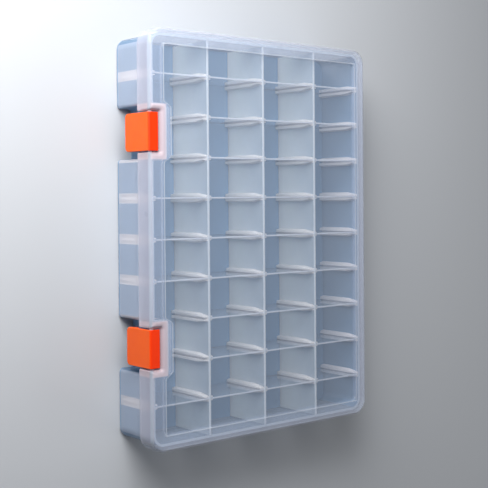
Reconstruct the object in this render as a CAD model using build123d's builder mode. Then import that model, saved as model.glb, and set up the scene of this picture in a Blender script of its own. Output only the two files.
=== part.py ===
"""Flat compartment box for sewing notions, moulded in translucent polypropylene.

A tray with three fixed long dividers is cut into thirty-six compartments by thin removable
dividers, which slide down between pairs of ribs. The long dividers are moulded in one with the
tray and stand in pieces of their own. A lid with a sunken middle hinges on two bars along the
rear wall, and two orange latches clip onto bars in the lid and hook under the tray.

X runs along the box, Y from the latch side (front, -Y) to the hinge side (rear, +Y), Z up.
The origin is at the centre of the tray's underside. All sizes are in millimetres.
"""
import os
from build123d import *

os.makedirs("parts", exist_ok=True)

# Overall size, which is the lid's outline, and the wall that most of the box shares
lid_length = 275.0
lid_width = 195.0
box_height = 45.0
wall = 1.6

# Lid: skirt, raised band round the edge and sunken panel
lid_corner = 11.0
lid_wall = 1.5
lid_edge_radius = 3.2
skirt_bottom = 30.3
band_width = 11.6
panel_top = 42.5
panel_thickness = 1.2
panel_corner = 3.0
panel_step_radius = 0.8
gate_mark_radius = 1.6
gate_mark_depth = 0.3
gate_mark_offset = 130.0

# Tray
tray_inset = 3.4
tray_length = lid_length - 2 * tray_inset
tray_width = lid_width - 2 * tray_inset
tray_corner = 8.0
tray_height = 41.0
floor = 1.8
foot_radius = 1.2

# Latches and the notches and recesses round them
latch_offset = 70.0
latch_width = 25.0
lid_notch_width = 27.0
lid_notch_depth = 8.2
lid_notch_radius = 1.0
panel_detour_width = 32.0
panel_detour_slope = 4.0
panel_detour_depth = 5.6
recess_width = 34.0
recess_depth = 10.9
recess_radius = 2.5
latch_plate = 2.0
latch_bottom = 15.5
latch_top = 43.2
latch_flange = 1.6
latch_flange_reach = 7.3
latch_corner = 3.0
latch_top_radius = 1.3
latch_side_radius = 0.5
latch_axis_depth = 2.5
latch_axis_z = 40.8
latch_bar_radius = 1.3
latch_hub_radius = 2.4
running_clearance = 0.05
clip_mouth = 2.1
hook_top = 24.2
hook_reach = 3.9
hook_thickness = 1.1
hook_slope = 2.8

# Catch shelf in each recess, which the latch's hook snaps under
shelf_bottom = 24.5
shelf_thickness = 1.8
shelf_reach = 10.0
shelf_edge_radius = 0.7
gusset_reach = 6.4
gusset_drop = 9.0
gusset_thickness = 1.4
gusset_pitch = 8.0

# Compartments
row_pitch = 27.0
row_count = 9
column_count = 4
long_divider = 1.6
column_pitch = 48.4
notched_rows = (2, 3, 7, 8)

# Ribs that guide the removable dividers, and the dividers
rib_width = 6.6
rib_top_width = 3.9
rib_reach = 2.8
rib_taper_z = 31.0
rib_top = 40.2
rib_draft = 12.0
slot_width = 1.5
divider_thickness = 1.2
divider_end_gap = 0.15
divider_top = 40.8
divider_edge_radius = 0.3

# Hinge: bars on the tray, clip knuckles on the lid
hinge_offset = 70.0
hinge_axis_y = lid_width / 2 + 3.1
hinge_axis_z = 31.0
hinge_bar_radius = 1.5
hinge_bar_length = 46.0
lug_thickness = 3.0
lug_pitch = 21.0
lug_head_radius = 2.6
lug_drop = 15.0
lug_shoulder_z = 29.6
knuckle_radius = 3.0
knuckle_length = 15.0
knuckle_pitch = 21.0
knuckle_rise = 7.0

# Sizes that follow from the ones above
tray_front = -tray_width / 2
tray_rear = tray_width / 2
recess_back = tray_front + recess_depth
lid_front = -lid_width / 2
lid_rear = lid_width / 2
latch_axis_y = lid_front + latch_axis_depth
cavity_length = tray_length - 2 * wall
front_inner = tray_front + wall
rear_inner = tray_rear - wall
latch_centres = (-latch_offset, latch_offset)
hinge_centres = (-hinge_offset, hinge_offset)
row_lines = [row_pitch * (row - (row_count + 1) / 2) for row in range(1, row_count + 1)]
long_lines = [-column_pitch, 0.0, column_pitch]
rib_root = rib_reach + long_divider / 2
open_rows = [row_lines[row - 1] for row in notched_rows]
front_rows = [x for x in row_lines if x not in open_rows]
column_faces = [
    (front_inner, long_lines[0] - long_divider / 2),
    (long_lines[0] + long_divider / 2, long_lines[1] - long_divider / 2),
    (long_lines[1] + long_divider / 2, long_lines[2] - long_divider / 2),
    (long_lines[2] + long_divider / 2, rear_inner),
]


def shell_outline(length, width, corner, notch_width, notch_depth, notch_radius):
    """Outline of the tray or the lid from above, with a notch for each latch in the front."""
    with BuildSketch() as outline:
        RectangleRounded(length, width, corner)
        with Locations(*[(x, -width / 2) for x in latch_centres]):
            Rectangle(notch_width, 2 * notch_depth, mode=Mode.SUBTRACT)
        notch_corners = outline.vertices().filter_by(
            lambda v: v.Y < notch_depth - width / 2 + 0.1
            and abs(abs(v.X) - latch_offset) < notch_width / 2 + 0.1
        )
        fillet(notch_corners, radius=notch_radius)
    return outline.sketch


def panel_outline():
    """Outline of the sunken panel, which steps back from the band round each latch notch."""
    front = lid_front + band_width
    half_detour = panel_detour_width / 2
    with BuildSketch() as outline:
        Rectangle(lid_length - 2 * band_width, lid_width - 2 * band_width)
        for x in latch_centres:
            Polygon(
                (x - half_detour - panel_detour_slope, front),
                (x + half_detour + panel_detour_slope, front),
                (x + half_detour, front + panel_detour_depth),
                (x - half_detour, front + panel_detour_depth),
                align=None,
                mode=Mode.SUBTRACT,
            )
        fillet(outline.vertices(), radius=panel_corner)
    return outline.sketch


def rib_outlines(plane, lines):
    """Outlines of the ribs on one upright face, one at each row line, narrower near the top."""
    with BuildSketch(plane) as outlines:
        for x in lines:
            Polygon(
                (x - rib_width / 2, floor / 2),
                (x + rib_width / 2, floor / 2),
                (x + rib_width / 2, rib_taper_z),
                (x + rib_top_width / 2, rib_top),
                (x - rib_top_width / 2, rib_top),
                (x - rib_width / 2, rib_taper_z),
                align=None,
            )
    return outlines.sketch


def facing_front(y):
    """Upright plane at y whose normal points to the front of the box."""
    return Plane((0, y, 0), x_dir=(1, 0, 0), z_dir=(0, -1, 0))


def facing_rear(y):
    """Upright plane at y whose normal points to the rear of the box."""
    return Plane((0, y, 0), x_dir=(-1, 0, 0), z_dir=(0, 1, 0))


tray_plan = shell_outline(
    tray_length, tray_width, tray_corner, recess_width, recess_depth, recess_radius
)
lid_plan = shell_outline(
    lid_length, lid_width, lid_corner, lid_notch_width, lid_notch_depth, lid_notch_radius
)
panel_plan = panel_outline()

# Tray shell: floor and outer wall with their ribs, catch shelves and hinge bars
with BuildPart() as base_tray:
    with BuildSketch():
        add(tray_plan)
    extrude(amount=tray_height)
    fillet(base_tray.faces().sort_by(Axis.Z)[0].edges(), radius=foot_radius)
    with BuildSketch(Plane.XY.offset(floor)):
        add(tray_plan)
        offset(amount=-wall)
    extrude(amount=tray_height - floor, mode=Mode.SUBTRACT)

    rear_ribs = rib_outlines(facing_front(rear_inner + long_divider / 2), row_lines)
    extrude(rear_ribs, amount=rib_root, taper=rib_draft)
    front_ribs = rib_outlines(facing_rear(front_inner - long_divider / 2), front_rows)
    extrude(front_ribs, amount=rib_root, taper=rib_draft)

    with BuildSketch(Plane.XY.offset(floor)):
        with Locations(*[(x, rear_inner - rib_root) for x in row_lines]):
            Rectangle(slot_width, 2 * rib_root)
        with Locations(*[(x, front_inner + rib_root) for x in front_rows]):
            Rectangle(slot_width, 2 * rib_root)
    extrude(amount=tray_height - floor, mode=Mode.SUBTRACT)

    # Catch shelf across each recess, with gussets below it
    shelf_y = recess_back + wall / 2 - (shelf_reach + wall / 2) / 2
    with BuildSketch(Plane.XY.offset(shelf_bottom)):
        with Locations(*[(x, shelf_y) for x in latch_centres]):
            Rectangle(recess_width + wall, shelf_reach + wall / 2)
    extrude(amount=shelf_thickness)
    shelf_edges = base_tray.edges().filter_by(Axis.X).filter_by(
        lambda e: abs(e.center().Y - (recess_back - shelf_reach)) < 0.01
    )
    fillet(shelf_edges, radius=shelf_edge_radius)
    for x in latch_centres:
        for step in (-1.5, -0.5, 0.5, 1.5):
            with BuildSketch(Plane.YZ.offset(x + step * gusset_pitch)):
                Polygon(
                    (recess_back + wall / 2, shelf_bottom + shelf_thickness / 2),
                    (recess_back - gusset_reach, shelf_bottom + shelf_thickness / 2),
                    (recess_back - gusset_reach, shelf_bottom),
                    (recess_back + wall / 2, shelf_bottom - gusset_drop),
                    align=None,
                )
            extrude(amount=gusset_thickness / 2, both=True)

    # Hinge lugs and the bars that the lid's knuckles clip onto
    for centre in hinge_centres:
        for step in (-1, 0, 1):
            with BuildSketch(Plane.YZ.offset(centre + step * lug_pitch)):
                Polygon(
                    (tray_rear - wall / 2, hinge_axis_z - lug_drop),
                    (tray_rear - wall / 2, lug_shoulder_z),
                    (hinge_axis_y, lug_shoulder_z),
                    (hinge_axis_y + lug_head_radius * 0.85, hinge_axis_z - lug_head_radius / 2),
                    align=None,
                )
                with Locations((hinge_axis_y, hinge_axis_z)):
                    Circle(lug_head_radius)
            extrude(amount=lug_thickness / 2, both=True)
        with BuildSketch(Plane.YZ.offset(centre)):
            with Locations((hinge_axis_y, hinge_axis_z)):
                Circle(hinge_bar_radius)
        extrude(amount=hinge_bar_length / 2 - lug_thickness / 2, both=True)

# Lid: one moulding with its band, sunken panel, latch bars and clip knuckles
with BuildPart() as lid:
    with BuildSketch(Plane.XY.offset(skirt_bottom)):
        add(lid_plan)
    extrude(amount=box_height - skirt_bottom)
    fillet(lid.faces().sort_by(Axis.Z)[-1].edges(), radius=lid_edge_radius)

    with BuildSketch(Plane.XY.offset(skirt_bottom)):
        add(lid_plan)
        offset(amount=-lid_wall)
    extrude(amount=box_height - lid_wall - skirt_bottom, mode=Mode.SUBTRACT)

    with BuildSketch(Plane.XY.offset(panel_top - panel_thickness)):
        add(panel_plan)
        offset(amount=panel_thickness)
    extrude(amount=box_height - lid_wall / 2 - panel_top + panel_thickness)
    with BuildSketch(Plane.XY.offset(panel_top)):
        add(panel_plan)
    extrude(amount=box_height - panel_top, mode=Mode.SUBTRACT)

    step_edges = lid.faces().sort_by(Axis.Z)[-1].inner_wires().edges()
    fillet(step_edges, radius=panel_step_radius)

    # Gate marks in the middle of each short band
    with BuildSketch(Plane.XY.offset(box_height)):
        with Locations((-gate_mark_offset, 0), (gate_mark_offset, 0)):
            Circle(gate_mark_radius)
    extrude(amount=-gate_mark_depth, mode=Mode.SUBTRACT)

    # Bars across the latch notches
    for centre in latch_centres:
        with BuildSketch(Plane.YZ.offset(centre)):
            with Locations((latch_axis_y, latch_axis_z)):
                Circle(latch_bar_radius)
        extrude(amount=(lid_notch_width + lid_wall) / 2, both=True)

    # Clip knuckles along the rear of the skirt
    for centre in hinge_centres:
        for step in (-0.5, 0.5):
            with BuildSketch(Plane.YZ.offset(centre + step * knuckle_pitch)):
                Polygon(
                    (lid_rear - lid_wall / 2, skirt_bottom + 0.3),
                    (lid_rear - lid_wall / 2, hinge_axis_z + knuckle_rise),
                    (lid_rear + lid_wall / 2, hinge_axis_z + knuckle_rise),
                    (hinge_axis_y, hinge_axis_z + knuckle_radius),
                    (hinge_axis_y, hinge_axis_z),
                    align=None,
                )
                with Locations((hinge_axis_y, hinge_axis_z)):
                    Circle(knuckle_radius)
                    Circle(hinge_bar_radius + running_clearance, mode=Mode.SUBTRACT)
                with Locations((hinge_axis_y, hinge_axis_z - knuckle_radius / 2)):
                    Rectangle(clip_mouth, knuckle_radius, mode=Mode.SUBTRACT)
            extrude(amount=knuckle_length / 2, both=True)


def long_divider_at(y):
    """One long divider of the tray with its ribs, standing on the floor from end to end."""
    with BuildPart() as divider:
        with BuildSketch(Plane.XY.offset(floor)):
            with Locations((0, y)):
                Rectangle(cavity_length, long_divider)
        extrude(amount=tray_height - floor)
        for plane in (facing_front(y), facing_rear(y)):
            extrude(rib_outlines(plane, row_lines), amount=rib_root, taper=rib_draft)
        with BuildSketch(Plane.XY.offset(floor)):
            for side in (-1, 1):
                with Locations(*[(x, y + side * (long_divider / 2 + rib_reach)) for x in row_lines]):
                    Rectangle(slot_width, 2 * rib_reach)
        extrude(amount=tray_height - floor, mode=Mode.SUBTRACT)
        with BuildSketch():
            with Locations((0, y)):
                Rectangle(cavity_length, 4 * rib_root)
        extrude(amount=floor, mode=Mode.SUBTRACT)
    return divider.part


def latch_at(centre):
    """One snap latch: clip hub on the lid's bar, plate, top flange and hook."""
    outer = lid_front
    inner = lid_front + latch_plate
    with BuildPart() as latch:
        with BuildSketch(Plane.YZ.offset(centre)):
            Polygon(
                (outer, latch_bottom),
                (outer, latch_top),
                (outer + latch_flange_reach, latch_top),
                (outer + latch_flange_reach, latch_top - latch_flange),
                (latch_axis_y, latch_top - latch_flange),
                (inner, latch_axis_z - latch_hub_radius),
                (inner, hook_top),
                (outer + hook_reach, hook_top),
                (outer + hook_reach, hook_top - hook_thickness),
                (inner, hook_top - hook_thickness - hook_slope),
                (inner, latch_bottom),
                align=None,
            )
            with Locations((latch_axis_y, latch_axis_z)):
                Circle(latch_hub_radius)
                Circle(latch_bar_radius + running_clearance, mode=Mode.SUBTRACT)
            with Locations((latch_axis_y, latch_axis_z)):
                Rectangle(
                    latch_hub_radius * 2,
                    clip_mouth * 0.85,
                    rotation=-45,
                    align=(Align.MIN, Align.CENTER),
                    mode=Mode.SUBTRACT,
                )
        extrude(amount=latch_width / 2, both=True)
        lower_corners = latch.edges().filter_by(Axis.Y).group_by(Axis.Z)[0]
        fillet(lower_corners, radius=latch_corner)
        top_edge = latch.edges().filter_by(Axis.X).filter_by(
            lambda e: abs(e.center().Y - outer) < 0.01 and abs(e.center().Z - latch_top) < 0.01
        )
        fillet(top_edge, radius=latch_top_radius)
        outer_face = latch.faces().filter_by(Axis.Y).sort_by(Axis.Y)[0]
        fillet(outer_face.edges().filter_by(Axis.Z), radius=latch_side_radius)
    return latch.part


latch_left = latch_at(-latch_offset)
latch_right = latch_at(latch_offset)
latch_left.label = "latch_left"
latch_right.label = "latch_right"


def divider_at(near, far, x):
    """One removable divider, standing on the tray's floor between two upright faces."""
    with BuildPart() as divider:
        with BuildSketch(Plane.XY.offset(floor)):
            with Locations((x, (near + far) / 2)):
                Rectangle(divider_thickness, far - near - 2 * divider_end_gap)
        extrude(amount=divider_top - floor)
        top_edges = divider.faces().sort_by(Axis.Z)[-1].edges().filter_by(Axis.Y)
        fillet(top_edges, radius=divider_edge_radius)
    return divider.part


base_tray.part.label = "base_tray"
lid.part.label = "lid"
pieces = [base_tray.part, lid.part, latch_left, latch_right]
for place, y in zip(("front", "middle", "rear"), long_lines):
    long_piece = long_divider_at(y)
    long_piece.label = f"long_divider_{place}"
    pieces.append(long_piece)
for column in range(1, column_count + 1):
    near, far = column_faces[column - 1]
    for row in range(1, row_count + 1):
        if column == 1 and row in notched_rows:
            continue
        divider = divider_at(near, far, row_lines[row - 1])
        divider.label = f"divider_column_{column}_row_{row}"
        pieces.append(divider)

for piece in pieces:
    export_step(piece, f"parts/{piece.label}.step")
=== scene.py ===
"""Looks of the compartment box: milky polypropylene tray and lid, dividers and orange latches."""

import bmesh
import bpy
from mathutils import Matrix, Vector


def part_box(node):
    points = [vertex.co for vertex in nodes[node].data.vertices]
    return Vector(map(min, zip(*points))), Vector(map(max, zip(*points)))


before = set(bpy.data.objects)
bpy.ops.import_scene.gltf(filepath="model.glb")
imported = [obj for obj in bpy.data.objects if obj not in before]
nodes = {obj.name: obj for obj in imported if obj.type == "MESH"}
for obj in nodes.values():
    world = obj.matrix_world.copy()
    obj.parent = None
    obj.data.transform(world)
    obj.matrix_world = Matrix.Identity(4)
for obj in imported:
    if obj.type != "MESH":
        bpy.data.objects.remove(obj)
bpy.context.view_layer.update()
scene = bpy.context.scene

# Studio. A pale matt sweep lies under the box. The key lamp stands off the left end and latch
# side with a weaker one above it, and a rear lamp lights the hinge side. The room is dim.
floor_drop = 0.0006
sweep = bmesh.new()
bmesh.ops.create_grid(sweep, x_segments=2, y_segments=2, size=6.0)
bmesh.ops.translate(sweep, verts=sweep.verts, vec=(0, 0, -floor_drop))
sweep_mesh = bpy.data.meshes.new("sweep")
sweep.to_mesh(sweep_mesh)
sweep.free()
floor = bpy.data.objects.new("sweep", sweep_mesh)
scene.collection.objects.link(floor)
paper = bpy.data.materials.new("pale_paper")
paper.use_nodes = True
paper_shader = paper.node_tree.nodes["Principled BSDF"]
paper_shader.inputs["Base Color"].default_value = (0.56, 0.58, 0.61, 1)
paper_shader.inputs["Roughness"].default_value = 0.9
floor.data.materials.append(paper)

world = bpy.data.worlds.new("white_room")
world.use_nodes = True
world.node_tree.nodes["Background"].inputs["Color"].default_value = (0.90, 0.94, 1.0, 1)
world.node_tree.nodes["Background"].inputs["Strength"].default_value = 0.10
scene.world = world


def soft_lamp(name, place, aim, side, watts, colour):
    """A square soft lamp of that side, standing at place and turned to aim."""
    lamp = bpy.data.lights.new(name, "AREA")
    lamp.shape = "SQUARE"
    lamp.size = side
    lamp.energy = watts
    lamp.color = colour
    stand = bpy.data.objects.new(name, lamp)
    stand.location = place
    stand.rotation_mode = "QUATERNION"
    stand.rotation_quaternion = (Vector(aim) - Vector(place)).to_track_quat("-Z", "Y")
    scene.collection.objects.link(stand)


soft_lamp("key_lamp", (-0.38, -0.34, 0.32), (-0.05, -0.05, 0.03), 0.36, 3.8, (1.0, 0.99, 0.98))
soft_lamp("top_lamp", (-0.27, -0.20, 0.38), (-0.13, -0.02, 0), 0.30, 1.2, (0.95, 0.97, 1.0))
soft_lamp("rear_lamp", (0.45, 0.95, 0.50), (0, 0, 0), 0.70, 2.6, (1.0, 1.0, 1.0))

# Camera. It looks down on the latch side, turned so that the box's length runs up the picture.
camera_place = Vector((-0.0281, -0.4656, 0.5956))
camera_aim = Vector((-0.0199, -0.0112, 0.0632))
camera_top = Vector((-1.0, 0.0094, 0.0))
camera_data = bpy.data.cameras.new("camera")
camera_data.lens = 76.2
camera_data.shift_x = -0.058
camera_data.shift_y = -0.074
camera = bpy.data.objects.new("camera", camera_data)
back = (camera_place - camera_aim).normalized()
right = camera_top.cross(back).normalized()
camera.matrix_world = Matrix.Translation(camera_place) @ Matrix(
    (right, back.cross(right), back)
).transposed().to_4x4()
scene.collection.objects.link(camera)
scene.camera = camera
scene.view_settings.view_transform = "Standard"
scene.cycles.transparent_max_bounces = 48

# Tray. One moulding in milky polypropylene: floor, ribbed walls, latch recesses and hinge bars.
# Floor and inside walls are painted a darker, deeper tint as painted shade, and ribs whiter, also
# seen through a wall.
# The end walls cover less than the sides, so that the lamps reach the compartments there.


def add_node(tree, kind, **values):
    """A node of that kind, with those settings."""
    made = tree.nodes.new(kind)
    for name, value in values.items():
        setattr(made, name, value)
    return made


def number(tree, operation, first, second=0.0, third=0.0):
    """The result of one Math node on sockets or plain numbers."""
    made = add_node(tree, "ShaderNodeMath", operation=operation)
    for socket, value in zip(made.inputs, (first, second, third)):
        if isinstance(value, (int, float)):
            socket.default_value = value
        else:
            tree.links.new(value, socket)
    return made.outputs[0]


def ramp(tree, value, low, high):
    """0 where value is low or less, 1 where it is high or more, and smooth between."""
    made = add_node(tree, "ShaderNodeMapRange", interpolation_type="SMOOTHSTEP", clamp=True)
    tree.links.new(value, made.inputs["Value"])
    made.inputs["From Min"].default_value = min(low, high)
    made.inputs["From Max"].default_value = max(low, high)
    made.inputs["To Min"].default_value = 0.0 if low < high else 1.0
    made.inputs["To Max"].default_value = 1.0 if low < high else 0.0
    return made.outputs["Result"]


def tint(tree, share, first, second):
    """Colour between first and second, each a socket or a colour, by share."""
    made = add_node(tree, "ShaderNodeMix", data_type="RGBA")
    tree.links.new(share, made.inputs["Factor"])
    for socket, value in ((made.inputs[6], first), (made.inputs[7], second)):
        if isinstance(value, tuple):
            socket.default_value = (*value, 1.0)
        else:
            tree.links.new(value, socket)
    return made.outputs[2]


def between(tree, share, first, second):
    """Number between first and second, each a socket or a number, by share."""
    made = add_node(tree, "ShaderNodeMix", data_type="FLOAT")
    tree.links.new(share, made.inputs["Factor"])
    for socket, value in ((made.inputs[2], first), (made.inputs[3], second)):
        if isinstance(value, (int, float)):
            socket.default_value = value
        else:
            tree.links.new(value, socket)
    return made.outputs[0]


def moulded(name):
    """An empty moulded-plastic material, its tree, shader, place and the place's coordinates."""
    made = bpy.data.materials.new(name)
    made.use_nodes = True
    tree = made.node_tree
    shader = tree.nodes["Principled BSDF"]
    place = add_node(tree, "ShaderNodeTexCoord").outputs["Object"]
    split = add_node(tree, "ShaderNodeSeparateXYZ")
    tree.links.new(place, split.inputs[0])
    return made, tree, shader, place, split.outputs


def cloud(tree, place, scale, detail):
    """Soft uneven pattern of the flow in the mould, from 0 to 1, at that scale per metre."""
    made = add_node(tree, "ShaderNodeTexNoise")
    made.inputs["Scale"].default_value = scale
    made.inputs["Detail"].default_value = detail
    tree.links.new(place, made.inputs["Vector"])
    return made.outputs["Fac"]


def orange_peel(tree, shader, place, scale, depth):
    """Faint waviness that a moulded face has, as bump of that depth in metres."""
    made = add_node(tree, "ShaderNodeBump")
    made.inputs["Strength"].default_value = 1.0
    made.inputs["Distance"].default_value = depth
    tree.links.new(cloud(tree, place, scale, 3.0), made.inputs["Height"])
    tree.links.new(made.outputs[0], shader.inputs["Normal"])


def give_material(names, plastic):
    """That plastic in every slot of the nodes of those names."""
    for name in names:
        for slot in nodes[name].material_slots:
            slot.material = plastic


def near_rows(tree, axis, half):
    """1 within half of a row line, where ribs stand, less near their tops and 0 at the ends."""
    to_row = number(tree, "PINGPONG", axis[0], row_pitch / 2)
    above = number(tree, "MAXIMUM", number(tree, "SUBTRACT", axis[2], rib_taper_from), 0.0)
    reach = number(tree, "MULTIPLY_ADD", above, rib_taper, to_row)
    off_end = ramp(tree, number(tree, "ABSOLUTE", axis[0]), 4.5 * row_pitch, 4.4 * row_pitch)
    return number(tree, "MULTIPLY", ramp(tree, reach, half, half - 0.0004), off_end)


row_pitch = 0.027
rib_half = 0.0035
rib_taper_from = 0.031
rib_taper = 0.147
floor_top = 0.0018
tray_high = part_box("base_tray")[1]
half_wall = 0.0008
tray_half_width = 0.0941
outer_half_length = tray_high.x - half_wall
outer_half_width = tray_half_width - half_wall
latch_offset = 0.07
recess_half = 0.017
recess_depth = 0.0125
tray_plastic, tree, shader, place, axis = moulded("tray_polypropylene")
past_end = number(tree, "SUBTRACT", number(tree, "ABSOLUTE", axis[0]), outer_half_length)
past_side = number(tree, "SUBTRACT", number(tree, "ABSOLUTE", axis[1]), outer_half_width)
inside = ramp(tree, number(tree, "MAXIMUM", past_end, past_side), 0.0002, -0.0002)
on_floor = ramp(tree, axis[2], floor_top + 0.0006, floor_top + 0.0001)
on_rim = ramp(tree, axis[2], tray_high.z - 0.0007, tray_high.z - 0.0002)
to_latch = number(
    tree, "ABSOLUTE", number(tree, "SUBTRACT", number(tree, "ABSOLUTE", axis[0]), latch_offset)
)
recess_back = -outer_half_width + recess_depth
beside_recess = number(
    tree, "MAXIMUM", ramp(tree, to_latch, recess_half, recess_half + 0.0006),
    ramp(tree, axis[1], recess_back, recess_back + 0.001),
)
long_side = ramp(tree, past_end, 0.0, -0.001)
behind_rib = number(tree, "MULTIPLY", near_rows(tree, axis, rib_half), beside_recess)
rib_share = number(tree, "MULTIPLY", behind_rib, inside)
seen_rib = number(tree, "MULTIPLY", behind_rib, long_side)
outer_tint = tint(tree, cloud(tree, place, 14.0, 2.0), (0.54, 0.63, 0.78), (0.60, 0.68, 0.83))
# Painted shade: the floor and inside faces take this darker blue, the outside and underside the
# paler one.
painted_shade_tint = tint(tree, cloud(tree, place, 20.0, 2.0), (0.175, 0.31, 0.485), (0.21, 0.345, 0.52))
outer_ribbed = tint(tree, seen_rib, outer_tint, (0.88, 0.88, 0.95))
ribbed = tint(tree, rib_share, tint(tree, inside, outer_ribbed, painted_shade_tint), (0.95, 0.92, 0.96))
on_underside = ramp(tree, axis[2], 0.0006, 0.0002)
floored = tint(
    tree, on_underside, tint(tree, on_floor, ribbed, painted_shade_tint), outer_tint
)
on_foot = number(
    tree, "MULTIPLY", ramp(tree, axis[2], 0.0014, 0.0006), number(tree, "SUBTRACT", 1.0, inside)
)
footed = tint(tree, on_foot, floored, (0.78, 0.83, 0.92))
tree.links.new(tint(tree, on_rim, footed, (0.70, 0.78, 0.90)), shader.inputs["Base Color"])
on_end = ramp(tree, past_end, -0.0012, -0.0008)
end_wall_cover = 0.38
wall_rib_cover = 0.75
thin_cover = between(tree, on_end, between(tree, inside, 0.55, 0.60), end_wall_cover)
wall_cover = between(tree, rib_share, thin_cover, wall_rib_cover)
floor_cover = 0.88
rim_cover = 0.60
cover = between(tree, on_floor, wall_cover, floor_cover)
tree.links.new(between(tree, on_rim, cover, rim_cover), shader.inputs["Alpha"])
tree.links.new(
    between(tree, cloud(tree, place, 60.0, 2.0), 0.30, 0.42), shader.inputs["Roughness"]
)
orange_peel(tree, shader, place, 500.0, 0.000015)
give_material(["base_tray"], tray_plastic)

# Long dividers. Three upright walls with a pair of ribs at each row, in one with the tray.
# They run from end to end, whiter at the ribs, and scatter light a little. Towards the foot they
# are painted lighter and cover more, painted light against the shade low between the walls.
plate_half = 0.0009
divider_pitch = 0.0484
long_plastic, tree, shader, place, axis = moulded("long_divider_polypropylene")
to_centre = number(tree, "PINGPONG", axis[1], divider_pitch / 2)
on_rib = ramp(tree, to_centre, plate_half, plate_half + 0.0003)
rib_share = number(
    tree, "MULTIPLY", near_rows(tree, axis, rib_half), between(tree, on_rib, 0.9, 1.0)
)
on_top = ramp(tree, axis[2], tray_high.z - 0.0003, tray_high.z - 0.0001)
at_foot = ramp(tree, axis[2], floor_top + 0.0022, floor_top + 0.0012)
# Painted light: lighter and more covering towards the foot, lifting the shade low between the
# walls.
painted_lift_toward_foot = ramp(tree, axis[2], tray_high.z, floor_top)
thin_tint = tint(tree, cloud(tree, place, 24.0, 2.0), (0.50, 0.58, 0.67), (0.56, 0.64, 0.72))
plate_tint = tint(tree, painted_lift_toward_foot, thin_tint, (0.86, 0.94, 1.0))
footed = tint(tree, at_foot, plate_tint, (0.92, 0.95, 1.0))
ribbed = tint(tree, rib_share, footed, (1.0, 0.96, 1.0))
tree.links.new(tint(tree, on_top, ribbed, (0.65, 0.70, 0.79)), shader.inputs["Base Color"])
cover = between(tree, rib_share, between(tree, painted_lift_toward_foot, 0.56, 0.74), 0.76)
tree.links.new(between(tree, on_top, cover, 0.90), shader.inputs["Alpha"])
shader.inputs["Roughness"].default_value = 0.36
shader.inputs["Subsurface Weight"].default_value = 0.8
shader.inputs["Subsurface Scale"].default_value = 0.003
shader.inputs["Subsurface Radius"].default_value = (1.0, 1.0, 1.0)
orange_peel(tree, shader, place, 500.0, 0.000012)
give_material([name for name in nodes if name.startswith("long_divider_")], long_plastic)

# Removable dividers. Thirty-two loose plates in the same plastic, thin enough to be nearly
# clear, with a bright top edge. Each stands on the floor between two pairs of ribs.
divider_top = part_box("divider_column_2_row_1")[1].z
divider_plastic, tree, shader, place, axis = moulded("divider_polypropylene")
on_top = ramp(tree, axis[2], divider_top - 0.0003, divider_top - 0.0001)
plate_tint = tint(tree, cloud(tree, place, 20.0, 2.0), (0.46, 0.58, 0.74), (0.54, 0.64, 0.78))
to_centre = number(tree, "PINGPONG", axis[1], divider_pitch / 2)
# Painted light: where the plate ends sit in the slots between the ribs they are whitish and cover
# more, filling the shade in the slot.
in_slot = number(
    tree, "MULTIPLY", ramp(tree, to_centre, 0.0042, 0.0034), ramp(tree, axis[2], 0.0404, 0.0396)
)
slot_painted_light = tint(tree, in_slot, plate_tint, (0.98, 0.95, 0.98))
tree.links.new(tint(tree, on_top, slot_painted_light, (0.65, 0.69, 0.79)), shader.inputs["Base Color"])
cover = between(tree, in_slot, 0.18, 0.60)
tree.links.new(between(tree, on_top, cover, 0.72), shader.inputs["Alpha"])
shader.inputs["Roughness"].default_value = 0.34
orange_peel(tree, shader, place, 500.0, 0.00001)
give_material([name for name in nodes if name.startswith("divider_")], divider_plastic)

# Lid. One moulding in the same plastic, clearer over the sunken panel. It covers more where more
# plastic lies in line: along the rounded edge and at the latch notches. Painted highlights run
# along the rounded edge and round the panel, and the notches carry a painted reflection of the
# orange latches.
lid_low, lid_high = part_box("lid")
half_length = lid_high.x
half_width = -lid_low.y
edge_radius = 0.0032
band_width = 0.0116
detour_depth = 0.0056
notch_half = 0.0135
notch_depth = 0.0082
lid_plastic, tree, shader, place, axis = moulded("lid_polypropylene")
across_x = number(tree, "ABSOLUTE", axis[0])
across_y = number(tree, "ABSOLUTE", axis[1])
past_edge = number(
    tree, "MAXIMUM", number(tree, "SUBTRACT", across_x, half_length),
    number(tree, "SUBTRACT", across_y, half_width),
)
to_latch = number(tree, "ABSOLUTE", number(tree, "SUBTRACT", across_x, latch_offset))
front_side = ramp(tree, axis[1], 0.0, -0.01)
detour = number(tree, "MULTIPLY", front_side, ramp(tree, to_latch, 0.020, 0.016))
panel_side = number(
    tree, "MULTIPLY_ADD", detour, detour_depth,
    number(tree, "SUBTRACT", across_y, half_width - band_width),
)
past_panel = number(
    tree, "MAXIMUM", panel_side,
    number(tree, "SUBTRACT", across_x, half_length - band_width),
)
past_notch = number(
    tree, "MAXIMUM", number(tree, "SUBTRACT", to_latch, notch_half),
    number(tree, "ADD", axis[1], half_width - notch_depth),
)
high_up = ramp(tree, axis[2], lid_high.z - edge_radius, lid_high.z - 0.5 * edge_radius)
# Painted highlight: a narrow band part way round the rounded edge, in pale grey and more
# covering.
turning = number(
    tree, "MULTIPLY",
    ramp(tree, axis[2], lid_high.z - 1.1 * edge_radius, lid_high.z - 0.7 * edge_radius),
    ramp(tree, axis[2], lid_high.z - 0.15 * edge_radius, lid_high.z - 0.45 * edge_radius),
)
painted_edge_highlight = number(
    tree, "MULTIPLY", ramp(tree, past_edge, -0.8 * edge_radius, -0.5 * edge_radius), turning
)
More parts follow.
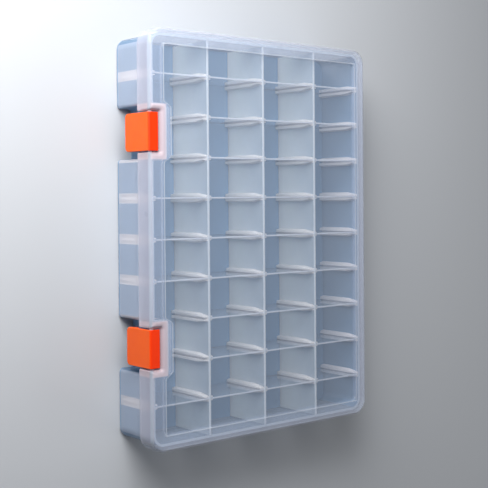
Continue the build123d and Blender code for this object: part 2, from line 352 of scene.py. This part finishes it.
# Painted highlight: a thin pale line on the top face just outside the panel, where the step's
# edge meets the band.
painted_line_highlight = number(
    tree, "MULTIPLY", ramp(tree, past_panel, 0.0002, 0.0006),
    number(tree, "MULTIPLY", ramp(tree, past_panel, 0.0015, 0.0008), high_up),
)
on_skirt = ramp(tree, past_edge, -0.0022, -0.0012)
at_notch = ramp(tree, past_notch, 0.0052, 0.0036)
on_panel = ramp(tree, past_panel, 0.0002, -0.0004)
haze = cloud(tree, place, 18.0, 2.0)
panel_tint = tint(tree, haze, (0.58, 0.68, 0.82), (0.66, 0.74, 0.86))
band_tint = tint(tree, on_panel, (0.62, 0.70, 0.86), panel_tint)
skirted = tint(tree, on_skirt, band_tint, (0.60, 0.60, 0.70))
# Painted reflection: round the latch notches the lid is painted pink, standing for the orange
# latches' light on it.
painted_latch_reflection = tint(tree, at_notch, skirted, (0.84, 0.70, 0.75))
line_highlight_tint = tint(tree, painted_line_highlight, painted_latch_reflection, (0.80, 0.85, 0.94))
edge_highlight_tint = tint(tree, painted_edge_highlight, line_highlight_tint, (0.60, 0.66, 0.76))
tree.links.new(edge_highlight_tint, shader.inputs["Base Color"])
flat_cover = between(tree, on_panel, 0.20, between(tree, haze, 0.10, 0.15))
on_end = ramp(tree, number(tree, "SUBTRACT", across_x, half_length), -0.0022, -0.0012)
notch_cover = 0.46
line_cover = 0.38
edge_cover = 0.46
cover = between(tree, on_skirt, flat_cover, between(tree, on_end, 0.40, 0.28))
cover = between(tree, at_notch, cover, notch_cover)
cover = between(tree, painted_line_highlight, cover, line_cover)
tree.links.new(between(tree, painted_edge_highlight, cover, edge_cover), shader.inputs["Alpha"])
tree.links.new(
    between(tree, cloud(tree, place, 60.0, 2.0), 0.24, 0.36), shader.inputs["Roughness"]
)
orange_peel(tree, shader, place, 450.0, 0.000015)
give_material(["lid"], lid_plastic)

# Latches. Two orange polypropylene clips, solid in colour, each snapped onto a bar in the lid.
# A fine grain covers them, and the top face is painted a darker, redder orange than the sides, as
# painted shade.
latch_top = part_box("latch_left")[1].z
latch_plastic, tree, shader, place, axis = moulded("latch_polypropylene")
shade = cloud(tree, place, 220.0, 4.0)
side_tint = tint(tree, shade, (0.96, 0.110, 0.006), (1.0, 0.135, 0.009))
# Painted shade: the top face is a darker, redder copy of the side orange.
painted_shade_top_tint = tint(tree, shade, (0.90, 0.036, 0.001), (0.95, 0.044, 0.002))
rounding = 0.0016
on_top = ramp(tree, axis[2], latch_top - rounding, latch_top - 0.0001)
tree.links.new(tint(tree, on_top, side_tint, painted_shade_top_tint), shader.inputs["Base Color"])
tree.links.new(between(tree, shade, 0.38, 0.48), shader.inputs["Roughness"])
shader.inputs["Specular IOR Level"].default_value = 0.25
orange_peel(tree, shader, place, 1500.0, 0.00004)
give_material(["latch_left", "latch_right"], latch_plastic)
